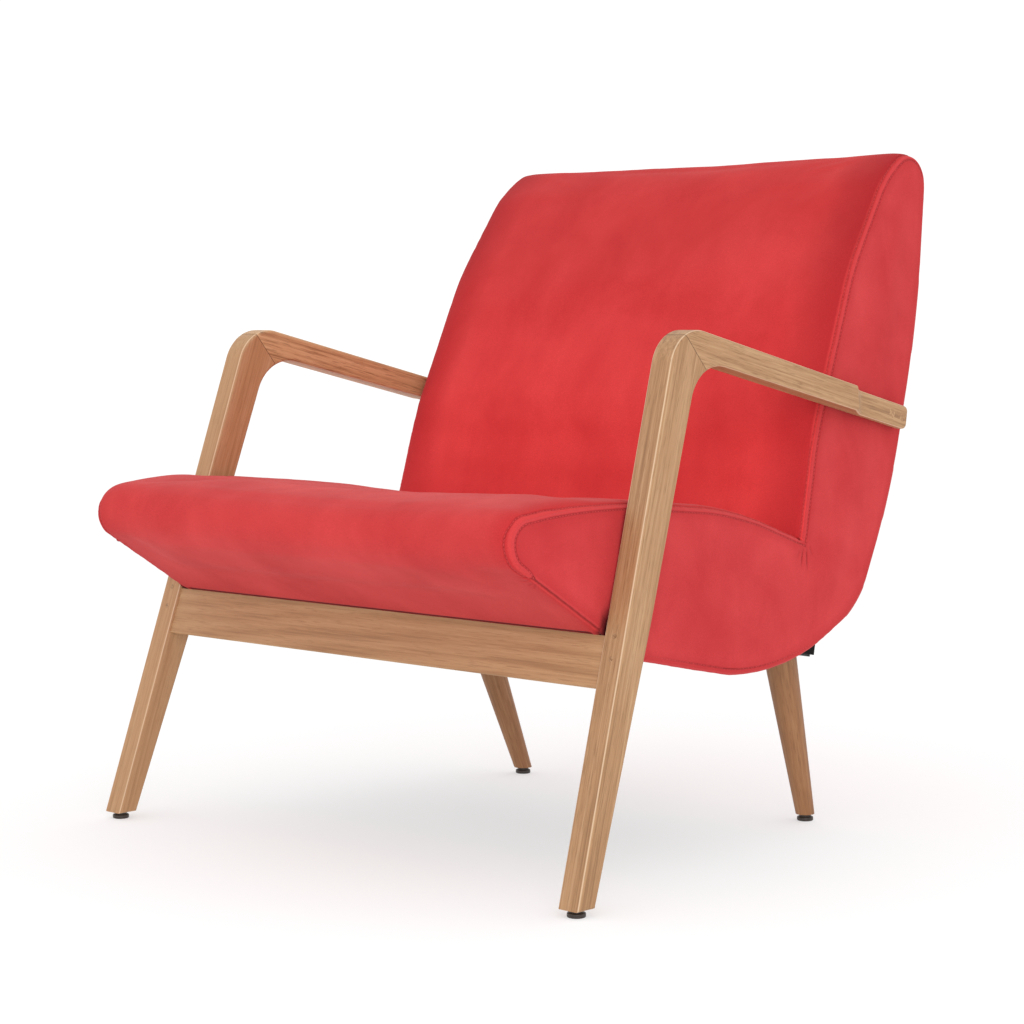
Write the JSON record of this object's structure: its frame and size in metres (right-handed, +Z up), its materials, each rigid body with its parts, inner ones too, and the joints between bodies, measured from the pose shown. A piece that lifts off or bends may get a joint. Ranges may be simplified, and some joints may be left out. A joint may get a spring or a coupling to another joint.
{
  "type": "lounge chair",
  "caption": "Upholstered lounge chair: velvet seat-and-back shell held between raked wooden side frames with mitred armrests, on tapered rear legs and nailed glides.",
  "frame": {"origin": "middle of the overall box, on the floor under the chair", "axes": "+Z up, the chair faces -Y, +X towards the sitter's left"},
  "size_m": [0.7152, 0.6801, 0.7347],
  "materials": {
    "velvet": "short-pile red velvet",
    "oak": "clear-lacquered pale oak",
    "frame_wood": "raw plywood and beech",
    "black_wood": "black-stained wood",
    "foam": "open-cell upholstery foam",
    "webbing": "elastic woven webbing",
    "dust_cloth": "black non-woven cloth",
    "steel": "zinc-plated steel",
    "dark_metal": "dark pins",
    "glide_plastic": "dark nylon"
  },
  "bodies": {
    "root": {"arm_plugs": "oak", "arm_screws": "steel", "armrest_left": "oak", "armrest_right": "oak", "back_cover": "velvet", "back_foam": "foam", "back_lower_crossrail": "frame_wood", "back_panel": "frame_wood", "back_top_crossrail": "frame_wood", "back_webbing": "webbing", "block_screws": "steel", "corner_blocks": "frame_wood", "dust_cover": "dust_cloth", "front_leg_left": "oak", "front_leg_right": "oak", "front_rail": "oak", "front_rail_screws": "steel", "glide_front_left": "glide_plastic", "glide_front_right": "glide_plastic", "glide_nails": "steel", "glide_rear_left": "glide_plastic", "glide_rear_right": "glide_plastic", "hanger_bolts": "steel", "leg_block_left": "black_wood", "leg_block_right": "black_wood", "leg_plates": "steel", "mitre_dowels": "frame_wood", "outside_back_cover": "velvet", "plate_screws": "steel", "rail_dowels": "frame_wood", "rail_lock_pins": "dark_metal", "rear_leg_left": "oak", "rear_leg_right": "oak", "seat_cover": "velvet", "seat_foam": "foam", "seat_front_crossrail": "frame_wood", "seat_rear_crossrail": "frame_wood", "seat_webbing": "webbing", "side_board_left": "frame_wood", "side_board_right": "frame_wood", "side_cover_left": "velvet", "side_cover_right": "velvet", "side_padding_left": "foam", "side_padding_right": "foam"}
  },
  "joints": []
}
